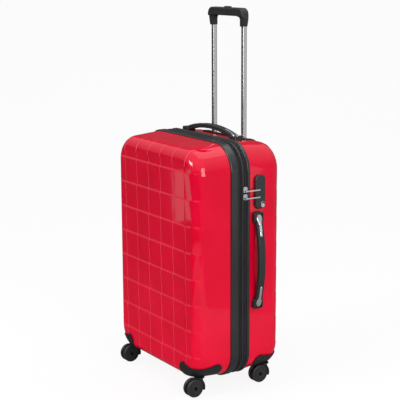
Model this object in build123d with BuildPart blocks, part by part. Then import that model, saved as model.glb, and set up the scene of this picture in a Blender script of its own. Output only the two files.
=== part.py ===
from build123d import *
import math
import os

os.makedirs("parts", exist_ok=True)

# Hard shell suitcase on wheels, in millimetres. X runs across the width, the tiled front
# faces -Y, the telescopic handle is at the back, and the wheels stand on Z = 0.

# Case body
case_width = 420.0
case_height = 630.0
case_bottom = 37.0
case_corner = 72.0
case_half_depth = 138.0
side_draft = 2.2
end_draft = 5.0
face_rounding = 38.0
shell_wall = 2.0
lining_wall = 1.0
lining_gap = 0.2

# Tiles pressed into the front and back faces
tile_rows = 9
tile_columns = 7
tile_pitch_z = 70.0
tile_pitch_x = 62.3
tile_first_step = 604.0
tile_relief = 3.0
tile_bevel = 4.5
tile_tilt = 0.8
tile_clearance = 20.0
edge_relief = 2.0

# Zip band, as distances along the depth from the frame's middle plane
front_trim_start = -31.6
front_trim_end = -9.0
front_rim = -14.0
expansion_seam = -1.0
expansion_coil = 1.8
seam_gap = 0.3
welt_start = 3.5
welt_end = 8.5
zip_seam = 12.0
zip_coil = 3.0
back_rim = 21.0
back_trim_start = 19.0
back_trim_end = 28.8
trim_proud = 4.0
trim_round = 3.0
welt_proud = 3.0
coil_proud = 2.0
tape_wall = 1.2
expansion_travel = 38.0
gusset_depth = 7.5
gusset_wall = 1.0
gusset_reach = 58.0

# Corner guards and casters
caster_x = 171.0
caster_y = 105.0
guard_wall = 3.0
guard_underside = 52.0
guard_plate = 4.0
pan_radius = 40.0
wheel_radius = 24.5
wheel_width = 8.5
wheel_trail = 19.0
wheel_gap = 0.5
web_width = 6.8
axle_radius = 3.0
kingpin_radius = 4.0
kingpin_head_radius = 4.9
kingpin_head_wall = 3.0
running_gap = 0.05
swivel_gap = 0.4
swivel_disc_radius = 14.0
swivel_disc_wall = 2.3
hood_gap = 0.8
hood_wall = 4.7
hood_width = 25.0

# Telescopic handle
pole_x = 72.0
pole_y = 106.0
pole_width = 9.5
pole_depth = 14.0
pole_wall = 1.0
pole_corner = 2.5
outer_tube_gap = 0.4
outer_tube_wall = 1.1
handle_travel = 320.0
pole_overlap = 70.0
tray_depth = 27.0
tray_wall = 2.0
tray_length = 196.0
tray_width = 30.0
tray_flange = 6.0
tray_proud = 3.0
bracket_height = 34.0
tube_bottom = 56.0
grip_bottom = 961.0
grip_top = 1010.0
grip_half_width = 84.0
grip_bar = 22.0
grip_leg_width = 14.0
grip_front = 91.0
grip_back = 114.0
grip_leg_front = 97.0
button_length = 26.0
button_width = 11.0
button_proud = 3.0
button_travel = 3.0
rod_radius = 1.7
snap_pin_radius = 2.0
snap_pin_travel = 1.8

# Carry handles
carry_length = 262.0
carry_width = 20.0
carry_rise = 30.0
carry_thickness = 12.0
carry_y = 52.0
top_handle_x = -4.0
side_handle_z = 356.0
carry_lift = 5.0
foot_length = 28.0
foot_width = 31.0
foot_height = 11.5
lug_wall = 2.2
lug_proud = 2.4
insert_wall = 1.2

# Lock
lock_y = 59.0
lock_drop = 127.0
lock_width = 33.0
lock_height = 90.0
lock_proud = 8.0
lock_depth = 9.0
lock_plug_width = 25.0
lock_plug_height = 78.0
lock_corner = 13.0
key_radius = 5.5
key_y = 67.0
key_drop = 36.0
key_stem_radius = 2.0
cam_reach = 10.0
cam_width = 4.0
cam_wall = 2.0
cam_room_wall = 4.0

# Zip sliders and pull tabs
slider_length = 15.0
slider_width = 12.0
slider_wall = 2.0
slider_gap = 0.3
upper_slider_rise = 10.5
lower_slider_drop = 9.0
pull_bar_offset = 4.0
pull_bar_radius = 1.0
pull_width = 3.5
pull_thickness = 1.6
pull_tip_y = 56.0

# Interior
strap_width = 25.0
strap_wall = 1.5
strap_y = 40.0
strap_lean = 8.0
false_back = 89.0
stud_radius = 9.0
stud_y = 78.0
stud_round = 1.5

# Derived places
case_top = case_bottom + case_height
tray_floor = case_top - tray_depth
lock_z = case_top - lock_drop
key_z = lock_z - key_drop
upper_slider_z = lock_z + upper_slider_rise
lower_slider_z = lock_z - lower_slider_drop
case_mid_z = case_bottom + case_height / 2
side_x = case_width / 2
side_slope = math.tan(math.radians(side_draft))
end_slope = math.tan(math.radians(end_draft))
face_y = case_half_depth
cavity_y = case_half_depth - tile_relief - shell_wall
plate_top = guard_underside + guard_plate


def save(part, label):
    part.label = label
    export_step(part, f"parts/{label}.step")


def outline(inset_x, inset_z, corner):
    """Rounded rectangle of the case, seen from the front."""
    with Locations((0, case_mid_z)):
        RectangleRounded(case_width - 2 * inset_x, case_height - 2 * inset_z, corner)


def half_blank(rim, trim_edge, face, inset):
    """Solid half of the case in front orientation: straight under its trim, drafted beyond it, rounded at its face."""
    run = face - trim_edge
    with BuildPart() as blank:
        with BuildSketch(Plane.XZ.offset(rim)):
            outline(inset, inset, case_corner - inset)
        extrude(amount=trim_edge - rim)
        with BuildSketch(Plane.XZ.offset(trim_edge)):
            outline(inset, inset, case_corner - inset)
        with BuildSketch(Plane.XZ.offset(face)):
            outline(inset + run * side_slope, inset + run * end_slope, case_corner - inset - run * side_slope)
        loft(ruled=True)
        fillet(blank.faces().sort_by(Axis.Y)[0].edges(), face_rounding - inset)
    return blank.part


def tile_steps(crest, valley, clear):
    """Sawtooth outline of one column of tiles: distance from the case's middle, and height."""
    first_top = tile_first_step + tile_pitch_z
    steps = [(clear, case_top + tile_clearance), (crest, case_top + tile_clearance), (crest, first_top - tile_bevel)]
    for row in range(tile_rows):
        step_z = tile_first_step - row * tile_pitch_z
        steps.append((valley, step_z))
        steps.append((crest, step_z - tile_bevel))
    steps.append((crest, case_bottom - 2 * tile_clearance))
    steps.append((clear, case_bottom - 2 * tile_clearance))
    return steps


def tile_prism(plane, steps, width):
    """Cutter for one column: its sawtooth outline on a plane, carried back over its width."""
    with BuildPart() as cutter:
        with BuildSketch(plane):
            with BuildLine():
                Polyline(*steps, close=True)
            make_face()
        extrude(amount=-width)
    return cutter.part


def tile_cutters():
    """Everything in front of the tiles: a prism for each column, its right edge proudest, and one for each rounded edge."""
    crest = -face_y
    cutters = []
    for column in range(tile_columns):
        right = (column + 1 - tile_columns / 2) * tile_pitch_x
        if column == tile_columns - 1:
            right += tile_pitch_x / 2
        width = tile_pitch_x
        if column in (0, tile_columns - 1):
            width = 1.5 * tile_pitch_x
        column_plane = Plane(origin=(right, 0, 0), x_dir=(tile_tilt, width, 0), z_dir=(width, -tile_tilt, 0))
        steps = tile_steps(crest, crest + tile_relief, crest - tile_clearance)
        cutters.append(tile_prism(column_plane, steps, width))
    edge_y = face_y - face_rounding
    edge_x = side_x - (edge_y + front_trim_start) * side_slope - face_rounding
    edge_crest = -(edge_x + edge_y) / math.sqrt(2) - face_rounding
    edge_along = (edge_x - edge_y) / math.sqrt(2)
    edge_steps = tile_steps(edge_crest, edge_crest + edge_relief, edge_crest - tile_clearance)
    edge_width = 2 * face_rounding
    edge_start = (edge_along + edge_width / 2) / math.sqrt(2)
    edge_plane = Plane(origin=(edge_start, edge_start, 0), x_dir=(-1, 1, 0), z_dir=(1, 1, 0))
    right_edge = tile_prism(edge_plane, edge_steps, edge_width)
    return cutters + [right_edge, right_edge.mirror(Plane.YZ)]


def band(y_from, y_to, inner, outer):
    """Ring that follows the case outline, from inner to outer above the shell's surface."""
    with BuildSketch(Plane.XZ.offset(-y_to)) as ring:
        outline(-outer, -outer, case_corner + outer)
        with Locations((0, case_mid_z)):
            RectangleRounded(
                case_width + 2 * inner, case_height + 2 * inner, case_corner + inner, mode=Mode.SUBTRACT
            )
    extrude(ring.sketch, amount=y_to - y_from)


# --- Blanks of the two halves -------------------------------------------------------------

front_outer = half_blank(-front_rim, -front_trim_start, face_y, 0)
front_cavity = half_blank(-front_rim, -front_trim_start, cavity_y, shell_wall)
back_outer = half_blank(back_rim, back_trim_end, face_y, 0).mirror(Plane.XZ)
back_cavity = half_blank(back_rim, back_trim_end, cavity_y, shell_wall).mirror(Plane.XZ)
front_tiles = tile_cutters()
back_tiles = [cutter.mirror(Plane.XZ) for cutter in front_tiles]

caster_spots = {
    "front_left": (-caster_x, -caster_y),
    "front_right": (caster_x, -caster_y),
    "back_left": (-caster_x, caster_y),
    "back_right": (caster_x, caster_y),
}


def pan_cutter(side, radius, top):
    """Round space above the two casters of one half, up to a height."""
    with BuildPart() as pans:
        with BuildSketch(Plane.XY):
            with Locations((-caster_x, side * caster_y), (caster_x, side * caster_y)):
                Circle(radius)
        extrude(amount=top)
    return pans.part


front_pans = pan_cutter(-1, pan_radius, plate_top)
back_pans = pan_cutter(1, pan_radius, plate_top)


def kingpin_holes(side):
    with BuildPart() as holes:
        with BuildSketch(Plane.XY):
            with Locations((-caster_x, side * caster_y), (caster_x, side * caster_y)):
                Circle(kingpin_radius)
        extrude(amount=plate_top + 4 * shell_wall)
    return holes.part


# --- Front shell --------------------------------------------------------------------------

front_room = front_cavity - pan_cutter(-1, pan_radius + shell_wall, plate_top + shell_wall)
with BuildPart() as front_shell:
    add(front_outer)
    add(front_tiles, mode=Mode.SUBTRACT)
    add(front_pans, mode=Mode.SUBTRACT)
    add(front_room, mode=Mode.SUBTRACT)
    add(kingpin_holes(-1), mode=Mode.SUBTRACT)
save(front_shell.part, "front_shell")

# --- Back shell ---------------------------------------------------------------------------
# It has holes for the telescopic handle's tray and for the lock's housing.

tray_hole = Pos(0, pole_y, case_top) * Box(tray_length + 2 * tray_wall, tray_width, 4 * tray_width)
lock_hole = Pos(side_x, lock_y, lock_z) * Box(4 * lock_depth, lock_plug_width, lock_plug_height)
back_room = back_cavity - pan_cutter(1, pan_radius + shell_wall, plate_top + shell_wall)
with BuildPart() as back_shell:
    add(back_outer)
    add(back_tiles, mode=Mode.SUBTRACT)
    add(back_pans, mode=Mode.SUBTRACT)
    add(back_room, mode=Mode.SUBTRACT)
    add(kingpin_holes(1), mode=Mode.SUBTRACT)
    add([tray_hole, lock_hole], mode=Mode.SUBTRACT)
save(back_shell.part, "back_shell")

# --- Trim frames: rounded strips round both shells' rims ------------------------------------

with BuildPart() as front_trim:
    band(front_trim_start, front_trim_end, 0, trim_proud)
    for end_face in (front_trim.faces().sort_by(Axis.Y)[0], front_trim.faces().sort_by(Axis.Y)[-1]):
        fillet(end_face.outer_wire().edges(), trim_round)
save(front_trim.part, "front_trim")

with BuildPart() as back_trim:
    band(back_trim_start, back_trim_end, 0, trim_proud)
    for end_face in (back_trim.faces().sort_by(Axis.Y)[0], back_trim.faces().sort_by(Axis.Y)[-1]):
        fillet(end_face.outer_wire().edges(), trim_round)
save(back_trim.part, "back_trim")

# --- Zips: a woven tape ring with half of the coil standing on its edge ---------------------

with BuildPart() as expansion_tape:
    band(front_rim, expansion_seam - seam_gap / 2, -tape_wall, 0)
    band(expansion_seam - seam_gap / 2 - expansion_coil, expansion_seam - seam_gap / 2, 0, coil_proud)
save(expansion_tape.part, "expansion_tape")

with BuildPart() as zip_frame_tape:
    band(expansion_seam + seam_gap / 2, zip_seam - seam_gap / 2, -tape_wall, 0)
    band(expansion_seam + seam_gap / 2, expansion_seam + seam_gap / 2 + expansion_coil, 0, coil_proud)
    band(zip_seam - seam_gap / 2 - zip_coil, zip_seam - seam_gap / 2, 0, coil_proud)
save(zip_frame_tape.part, "zip_frame_tape")

with BuildPart() as zip_frame_welt:
    band(welt_start, welt_end, 0, welt_proud)
    for end_face in (zip_frame_welt.faces().sort_by(Axis.Y)[0], zip_frame_welt.faces().sort_by(Axis.Y)[-1]):
        fillet(end_face.outer_wire().edges(), welt_proud / 2)
save(zip_frame_welt.part, "zip_frame_welt")

with BuildPart() as main_zip_back:
    band(zip_seam + seam_gap / 2, back_rim, -tape_wall, 0)
    band(zip_seam + seam_gap / 2, zip_seam + seam_gap / 2 + zip_coil, 0, coil_proud)
save(main_zip_back.part, "main_zip_back")

# The gusset hides inside the front half and covers the gap when the case is expanded.
with BuildPart() as expansion_gusset:
    band(-gusset_reach, welt_end, -gusset_depth, -gusset_depth + gusset_wall)
    band(welt_start, welt_end, -gusset_depth, -tape_wall)
save(expansion_gusset.part, "expansion_gusset")

# --- Fabric linings: trays a little inside the shells ---------------------------------------

lining_skin = shell_wall + lining_gap
lining_pan_top = plate_top + shell_wall + kingpin_head_wall + lining_gap
lining_face = cavity_y - lining_gap
front_lining_outer = half_blank(-front_rim, -front_trim_start, lining_face, lining_skin)
front_lining_inner = half_blank(-front_rim, -front_trim_start, lining_face - lining_wall, lining_skin + lining_wall)
front_lining_pans = pan_cutter(-1, pan_radius + lining_skin, lining_pan_top)
front_inner_pans = pan_cutter(-1, pan_radius + lining_skin + lining_wall, lining_pan_top + lining_wall)
with BuildPart() as front_lining:
    add(front_lining_outer)
    add(front_lining_pans, mode=Mode.SUBTRACT)
    add(front_lining_inner - front_inner_pans, mode=Mode.SUBTRACT)
save(front_lining.part, "front_lining")

# The lining of the back half is shallower: the handle's tubes run behind it.
back_lining_outer = half_blank(back_rim, back_trim_end, false_back, lining_skin).mirror(Plane.XZ)
back_lining_inner = half_blank(
    back_rim, back_trim_end, false_back - lining_wall, lining_skin + lining_wall
).mirror(Plane.XZ)
back_lining_pans = pan_cutter(1, pan_radius + lining_skin, lining_pan_top)
back_inner_pans = pan_cutter(1, pan_radius + lining_skin + lining_wall, lining_pan_top + lining_wall)
with BuildPart() as back_lining:
    add(back_lining_outer)
    add(back_lining_pans, mode=Mode.SUBTRACT)
    add(back_lining_inner - back_inner_pans, mode=Mode.SUBTRACT)
    with Locations((side_x, lock_y, lock_z)):
        Box(4 * lock_depth, lock_plug_width + 2 * lining_gap, lock_plug_height + 2 * lining_gap, mode=Mode.SUBTRACT)
save(back_lining.part, "back_lining")

# Two packing straps cross over the back half and meet in a buckle.
strap_angle = math.degrees(math.atan2(case_height, case_width)) - strap_lean
with BuildPart() as strap_buckle:
    with BuildSketch(Plane.XZ.offset(-strap_y - 2 * strap_wall)):
        with Locations((0, case_mid_z)):
            RectangleRounded(2.4 * strap_width, 2 * strap_width, strap_wall)
    extrude(amount=2 * strap_wall + 6)
    fillet(strap_buckle.faces().sort_by(Axis.Y)[0].edges(), strap_wall)
save(strap_buckle.part, "strap_buckle")

with BuildPart() as packing_straps:
    with BuildSketch(Plane.XZ.offset(-strap_y)):
        with Locations(Location((0, case_mid_z), strap_angle), Location((0, case_mid_z), -strap_angle)):
            Rectangle(2 * case_height, strap_width)
    extrude(amount=-strap_wall)
    add(back_lining_inner, mode=Mode.INTERSECT)
    add(strap_buckle.part, mode=Mode.SUBTRACT)
save(packing_straps.part, "packing_straps")

# --- Hinge strip and side studs on the left side ---------------------------------------------

with BuildPart() as hinge_strip:
    with BuildSketch(Plane.YZ.offset(-side_x - trim_proud)):
        with Locations(((zip_seam + seam_gap / 2 + back_trim_start) / 2, case_mid_z)):
            Rectangle(back_trim_start - zip_seam - seam_gap / 2, case_height - 2 * case_corner - 40)
    extrude(amount=trim_proud - coil_proud)
save(hinge_strip.part, "hinge_strip")


def side_studs(side, blank):
    """Two round studs on the left side, as proud as the trims, that the case can lie on."""
    with BuildPart() as studs:
        with BuildSketch(Plane.YZ.offset(-side_x - trim_proud)):
            with Locations(
                (side * stud_y, case_bottom + case_corner + 2 * stud_radius),
                (side * stud_y, case_top - case_corner - 2 * stud_radius),
            ):
                Circle(stud_radius)
        extrude(amount=3 * trim_proud)
        fillet(studs.faces().sort_by(Axis.X)[0:2].edges(), stud_round)
        add(blank, mode=Mode.SUBTRACT)
    return studs.part


save(side_studs(1, back_outer), "back_studs")
save(side_studs(-1, front_outer), "front_studs")

# --- Corner guards: black covers over the bottom corners, which seat the casters --------------

front_skin = half_blank(-front_rim, -front_trim_start, face_y + guard_wall, -guard_wall)
front_body = front_outer - front_pans
pin_spot = {name: Pos(x, y, 0) for name, (x, y) in caster_spots.items()}

with BuildPart() as lobe_over_front:
    with BuildSketch(Plane.XZ.offset(caster_y - 10)):
        with BuildLine():
            Line((side_x + 10, guard_underside), (136, guard_underside))
            ThreePointArc((136, guard_underside), (127, 70), (143, 92))
            ThreePointArc((143, 92), (174, 82.5), (side_x + 10, 81))
            Line((side_x + 10, 81), (side_x + 10, guard_underside))
        make_face()
    extrude(amount=2 * face_rounding)

with BuildPart() as lobe_over_side:
    with BuildSketch(Plane.YZ.offset(case_corner + 90)):
        with BuildLine():
            Line((-face_y - 10, guard_underside), (-62, guard_underside))
            ThreePointArc((-62, guard_underside), (-53, 69), (-70, 88))
            ThreePointArc((-70, 88), (-104, 81), (-face_y - 10, 80))
            Line((-face_y - 10, 80), (-face_y - 10, guard_underside))
        make_face()
    extrude(amount=2 * case_corner)

with BuildPart() as pan_filler:
    with BuildSketch(Plane.XY.offset(guard_underside)):
        with Locations((caster_x, -caster_y)):
            Circle(pan_radius)
    extrude(amount=guard_plate)

with BuildPart() as right_guard:
    add(front_skin)
    add([lobe_over_front.part + lobe_over_side.part + pan_filler.part], mode=Mode.INTERSECT)
    add(front_body, mode=Mode.SUBTRACT)
    add(kingpin_holes(-1), mode=Mode.SUBTRACT)

save(right_guard.part, "guard_front_right")
save(right_guard.part.mirror(Plane.YZ), "guard_front_left")
save(right_guard.part.mirror(Plane.XZ), "guard_back_right")
save(right_guard.part.mirror(Plane.XZ).mirror(Plane.YZ), "guard_back_left")

# --- Kingpins: steel pins through guard and shell, with a riveted head inside the case -------

kingpin_bottom = wheel_radius + math.sqrt((wheel_radius + hood_gap) ** 2 - (wheel_trail - kingpin_radius) ** 2) + 0.6


def kingpins(side):
    with BuildPart() as pins:
        with BuildSketch(Plane.XY.offset(kingpin_bottom)):
            with Locations((-caster_x, side * caster_y), (caster_x, side * caster_y)):
                Circle(kingpin_radius)
        extrude(amount=plate_top + shell_wall - kingpin_bottom)
        with BuildSketch(Plane.XY.offset(plate_top + shell_wall)):
            with Locations((-caster_x, side * caster_y), (caster_x, side * caster_y)):
                Circle(kingpin_head_radius)
        extrude(amount=kingpin_head_wall)
    return pins.part


save(kingpins(-1), "front_kingpins")
save(kingpins(1), "back_kingpins")

# --- Casters: made once at the origin with the kingpin on the Z axis, wheels trailing to -Y ---

disc_top = guard_underside - swivel_gap
disc_bottom = disc_top - swivel_disc_wall
axle_y = -wheel_trail
hood_radius = wheel_radius + hood_gap + hood_wall
column_radius = 10.0
boss_radius = 9.0
web_bottom = 12.0
axle_length = hood_width + 1.2
wheel_hub_offset = web_width / 2 + wheel_gap
axle_head_radius = 4.5
axle_head_wall = 0.8

with BuildPart() as fork:
    with BuildSketch(Plane.XY.offset(disc_bottom)):
        Circle(swivel_disc_radius)
    extrude(amount=swivel_disc_wall)
    with BuildSketch(Plane.XY.offset(wheel_radius)):
        Circle(column_radius)
    extrude(amount=disc_bottom - wheel_radius)
    with BuildSketch(Plane.YZ.offset(-hood_width / 2)):
        with Locations((axle_y, wheel_radius)):
            Circle(hood_radius)
            with Locations((-hood_radius + wheel_trail / 2, 0)):
                Rectangle(2 * hood_radius, 3 * hood_radius, mode=Mode.SUBTRACT)
            with Locations((0, -hood_radius - 8)):
                Rectangle(3 * hood_radius, 2 * hood_radius, mode=Mode.SUBTRACT)
    extrude(amount=hood_width)
    with BuildSketch(Plane.YZ.offset(-hood_width / 2)):
        with Locations((axle_y, wheel_radius)):
            Circle(wheel_radius + hood_gap)
    extrude(amount=hood_width, mode=Mode.SUBTRACT)
    with BuildSketch(Plane.XY.offset(disc_top)):
        Rectangle(4 * hood_radius, 4 * hood_radius)
    extrude(amount=wheel_radius, mode=Mode.SUBTRACT)
    with BuildSketch(Plane.YZ.offset(-web_width / 2)):
        with Locations((axle_y, wheel_radius)):
            Circle(boss_radius)
        with BuildLine():
            Polyline(
                (axle_y - boss_radius, wheel_radius),
                (-swivel_disc_radius, disc_top),
                (column_radius, disc_top),
                (column_radius - 2, wheel_radius),
                (axle_y, web_bottom + 3),
                close=True,
            )
        make_face()
    extrude(amount=web_width)
    with BuildSketch(Plane.XY.offset(kingpin_bottom - 0.4)):
        Circle(kingpin_radius + running_gap)
    extrude(amount=wheel_radius, mode=Mode.SUBTRACT)
    with BuildSketch(Plane.YZ.offset(-hood_width)):
        with Locations((axle_y, wheel_radius)):
            Circle(axle_radius)
    extrude(amount=2 * hood_width, mode=Mode.SUBTRACT)

with BuildPart() as axle:
    with BuildSketch(Plane.YZ.offset(-axle_length / 2)):
        with Locations((axle_y, wheel_radius)):
            Circle(axle_radius)
    extrude(amount=axle_length)
    for head_x in (-axle_length / 2 - axle_head_wall, axle_length / 2):
        with BuildSketch(Plane.YZ.offset(head_x)):
            with Locations((axle_y, wheel_radius)):
                Circle(axle_head_radius)
        extrude(amount=axle_head_wall)

with BuildPart() as wheel:
    with BuildSketch(Plane.YZ.offset(wheel_hub_offset)):
        with Locations((axle_y, wheel_radius)):
            Circle(wheel_radius)
            Circle(axle_radius + running_gap, mode=Mode.SUBTRACT)
    extrude(amount=wheel_width)
    fillet(wheel.edges().filter_by(GeomType.CIRCLE).group_by(SortBy.RADIUS)[-1], 2.2)
    with BuildSketch(Plane.YZ.offset(wheel_hub_offset + wheel_width - 1)):
        with Locations((axle_y, wheel_radius)):
            Circle(0.74 * wheel_radius)
            Circle(0.66 * wheel_radius, mode=Mode.SUBTRACT)
    extrude(amount=1, mode=Mode.SUBTRACT)

inner_wheel = wheel.part.mirror(Plane.YZ)
for name, spot in pin_spot.items():
    save(spot * fork.part, f"fork_{name}")
    save(spot * axle.part, f"axle_{name}")
    save(spot * wheel.part, f"wheel_{name}_a")
    save(spot * inner_wheel, f"wheel_{name}_b")

# --- Telescopic handle -----------------------------------------------------------------------

pole_spots = ((-pole_x, pole_y), (pole_x, pole_y))
pole_bottom = tray_floor - pole_overlap
pole_top = grip_bottom + (grip_top - grip_bottom) / 2
snap_pin_z = pole_bottom + 20
hole_width = pole_width + 2 * outer_tube_gap
hole_depth = pole_depth + 2 * outer_tube_gap
tube_width = hole_width + 2 * outer_tube_wall
tube_depth = hole_depth + 2 * outer_tube_wall
back_skin = half_blank(back_rim, back_trim_end, face_y + tray_proud, -tray_proud).mirror(Plane.XZ)


def post(x, z_from, z_to, width, depth, corner):
    """Upright post of rounded section at one pole."""
    with BuildSketch(Plane.XY.offset(z_from)) as section:
        with Locations((x, pole_y)):
            RectangleRounded(width, depth, corner)
    return extrude(section.sketch, amount=z_to - z_from, mode=Mode.PRIVATE)


pole_holes = [post(x, tray_floor - 9, case_top, hole_width, hole_depth, pole_corner) for x, y in pole_spots]
with BuildPart() as handle_tray:
    with BuildSketch(Plane.XY.offset(tray_floor - tray_wall)):
        with Locations((0, pole_y)):
            Rectangle(tray_length + 2 * tray_wall, tray_width)
    extrude(amount=3 * tray_width)
    with BuildSketch(Plane.XY.offset(case_top - 4 * tray_proud - tray_flange)):
        with Locations((0, pole_y)):
            RectangleRounded(tray_length + 2 * tray_flange, tray_width + 2 * tray_flange, tray_flange)
            Rectangle(tray_length + 2 * tray_wall, tray_width, mode=Mode.SUBTRACT)
    extrude(amount=3 * tray_width)
    with BuildSketch(Plane.XY.offset(tray_floor)):
        with Locations((0, pole_y)):
            RectangleRounded(tray_length, tray_width - 2 * tray_wall, tray_flange)
    extrude(amount=4 * tray_width, mode=Mode.SUBTRACT)
    add(back_skin, mode=Mode.INTERSECT)
    add(back_outer - tray_hole, mode=Mode.SUBTRACT)
    add(pole_holes, mode=Mode.SUBTRACT)
save(handle_tray.part, "handle_tray")

with BuildPart() as outer_tubes:
    for x, y in pole_spots:
        add(post(x, tube_bottom, tray_floor - tray_wall, tube_width, tube_depth, pole_corner + outer_tube_wall))
        add(
            post(x, tube_bottom, tray_floor - tray_wall, hole_width, hole_depth, pole_corner + outer_tube_gap),
            mode=Mode.SUBTRACT,
        )
        slot_mid = snap_pin_z - handle_travel / 2
        with Locations((x + math.copysign(tube_width / 2, x), y, slot_mid)):
            Box(
                4 * outer_tube_wall,
                2 * snap_pin_radius + 1,
                handle_travel + 4 * snap_pin_radius,
                mode=Mode.SUBTRACT,
            )
save(outer_tubes.part, "outer_tubes")

with BuildPart() as tube_bracket:
    with BuildSketch(Plane.XY.offset(case_bottom)):
        with Locations((0, pole_y)):
            RectangleRounded(2 * pole_x + 40, tube_depth + 8, 4)
    extrude(amount=bracket_height)
    add(back_cavity, mode=Mode.INTERSECT)
    for x, y in pole_spots:
        add(
            post(x, tube_bottom, case_mid_z, tube_width, tube_depth, pole_corner + outer_tube_wall),
            mode=Mode.SUBTRACT,
        )
save(tube_bracket.part, "tube_bracket")

with BuildPart() as inner_tubes:
    for x, y in pole_spots:
        add(post(x, pole_bottom, pole_top, pole_width, pole_depth, pole_corner))
        add(
            post(
                x, pole_bottom, pole_top, pole_width - 2 * pole_wall, pole_depth - 2 * pole_wall, pole_corner - pole_wall
            ),
            mode=Mode.SUBTRACT,
        )
    with BuildSketch(Plane.YZ.offset(-pole_x - pole_width)):
        with Locations((pole_y, snap_pin_z)):
            Circle(snap_pin_radius + running_gap)
    extrude(amount=pole_width, mode=Mode.SUBTRACT)
    with BuildSketch(Plane.YZ.offset(pole_x)):
        with Locations((pole_y, snap_pin_z)):
            Circle(snap_pin_radius + running_gap)
    extrude(amount=pole_width, mode=Mode.SUBTRACT)
save(inner_tubes.part, "inner_tubes")

pin_tip = pole_x + pole_width / 2 + outer_tube_gap + outer_tube_wall / 2
pin_root = pole_x + pole_width / 2 - pole_wall - snap_pin_travel - 1.0
with BuildPart() as snap_pin:
    with BuildSketch(Plane.YZ.offset(pin_root)):
        with Locations((pole_y, snap_pin_z)):
            Circle(snap_pin_radius)
    extrude(amount=pin_tip - pin_root)
    with BuildSketch(Plane.YZ.offset(pin_root)):
        with Locations((pole_y, snap_pin_z)):
            Circle(1.5 * snap_pin_radius)
    extrude(amount=0.8)
save(snap_pin.part, "snap_pin_right")
save(snap_pin.part.mirror(Plane.YZ), "snap_pin_left")

# Grip: a round-cornered bar on two legs that sleeve over the poles, hollow for the release yoke.
yoke_wall = 3.0
yoke_room = 2.0
yoke_z = pole_top + yoke_room + button_travel
button_y = (grip_front + grip_back) / 2
with BuildPart() as trolley_grip:
    with BuildSketch(Plane.XZ.offset(-grip_back)):
        with BuildLine():
            Polyline(
                (-grip_half_width + 5, grip_bottom),
                (-grip_half_width, grip_bottom + 20),
                (-grip_half_width, grip_top),
                (grip_half_width, grip_top),
                (grip_half_width, grip_bottom + 20),
                (grip_half_width - 5, grip_bottom),
                (grip_half_width - 5 - grip_leg_width, grip_bottom),
                (grip_half_width - 5 - grip_leg_width, grip_top - grip_bar),
                (-grip_half_width + 5 + grip_leg_width, grip_top - grip_bar),
                (-grip_half_width + 5 + grip_leg_width, grip_bottom),
                close=True,
            )
        make_face()
        grip_corners = vertices().group_by(Axis.Y)
        fillet(grip_corners[-1], 18)
        fillet(vertices().filter_by(lambda v: abs(v.Y - grip_top + grip_bar) < 0.1), 12)
    extrude(amount=grip_back - grip_front)
    with BuildSketch(Plane.XY.offset(grip_bottom - 1)):
        with Locations((0, grip_front + (grip_leg_front - grip_front) / 2)):
            Rectangle(3 * grip_half_width, grip_leg_front - grip_front)
    extrude(amount=grip_top - grip_bar - grip_bottom - 1, mode=Mode.SUBTRACT)
    fillet(trolley_grip.faces().sort_by(Axis.Y)[0].edges(), 4)
    fillet(trolley_grip.faces().sort_by(Axis.Y)[-1].edges(), 4)
    for x, y in pole_spots:
        add(post(x, grip_bottom - 1, pole_top, pole_width, pole_depth, pole_corner), mode=Mode.SUBTRACT)
    with Locations((0, pole_y, yoke_z)):
        Box(2 * pole_x + 8, 7, 2 * (button_travel + yoke_room + yoke_wall / 2), mode=Mode.SUBTRACT)
    with Locations((0, button_y, grip_top)):
        Box(
            button_length + 2 * slider_gap,
            button_width + 2 * slider_gap,
            2 * (grip_top - yoke_z + button_travel),
            mode=Mode.SUBTRACT,
        )
save(trolley_grip.part, "trolley_grip")

with BuildPart() as release_button:
    with BuildSketch(Plane.XY.offset(yoke_z + yoke_wall / 2)):
        with Locations((0, button_y)):
            RectangleRounded(button_length, button_width, 4)
    extrude(amount=grip_top + button_proud - yoke_z - yoke_wall / 2)
    fillet(release_button.faces().sort_by(Axis.Z)[-1].edges(), 1.5)
save(release_button.part, "release_button")

with BuildPart() as release_rods:
    with Locations((0, pole_y, yoke_z)):
        Box(2 * pole_x + 2 * rod_radius, 2 * rod_radius, yoke_wall)
        Box(button_length / 2, pole_y - button_y + 2 * rod_radius, yoke_wall)
    rod_bottom = snap_pin_z + 1.5 * snap_pin_radius + button_travel + 2
    with BuildSketch(Plane.XY.offset(rod_bottom)):
        with Locations(*pole_spots):
            Circle(rod_radius)
    extrude(amount=yoke_z - rod_bottom)
save(release_rods.part, "release_rods")

# --- Carry handles: made once along X, then set on the top and on the right side --------------

carry_end = carry_length / 2 - 4
carry_floor = 2.2
carry_shoulder = 9.0
carry_grip_end = 18.0
foot_inner = carry_length / 2 - foot_length
pocket_gap = 0.3
carry_arc_mid = (0, carry_rise)

with BuildPart() as carry_grip:
    with BuildSketch(Plane.XZ.offset(-carry_width / 2)):
        with BuildLine():
            Line((-carry_end, carry_floor), (-carry_end, carry_shoulder))
            ThreePointArc((-carry_end, carry_shoulder), carry_arc_mid, (carry_end, carry_shoulder))
            Line((carry_end, carry_shoulder), (carry_end, carry_floor))
            Line((carry_end, carry_floor), (carry_end - carry_grip_end, carry_floor))
            ThreePointArc(
                (carry_end - carry_grip_end, carry_floor),
                (0, carry_rise - carry_thickness),
                (-carry_end + carry_grip_end, carry_floor),
            )
            Line((-carry_end + carry_grip_end, carry_floor), (-carry_end, carry_floor))
        make_face()
    extrude(amount=carry_width)
    long_edges = carry_grip.edges().filter_by(GeomType.CIRCLE)
    fillet(long_edges, 2.6)
    with Locations(
        (carry_end - carry_grip_end / 2, 0, carry_floor + lug_wall / 2),
        (-carry_end + carry_grip_end / 2, 0, carry_floor + lug_wall / 2),
    ):
        Box(carry_grip_end, carry_width + 2 * lug_proud, lug_wall)

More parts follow.
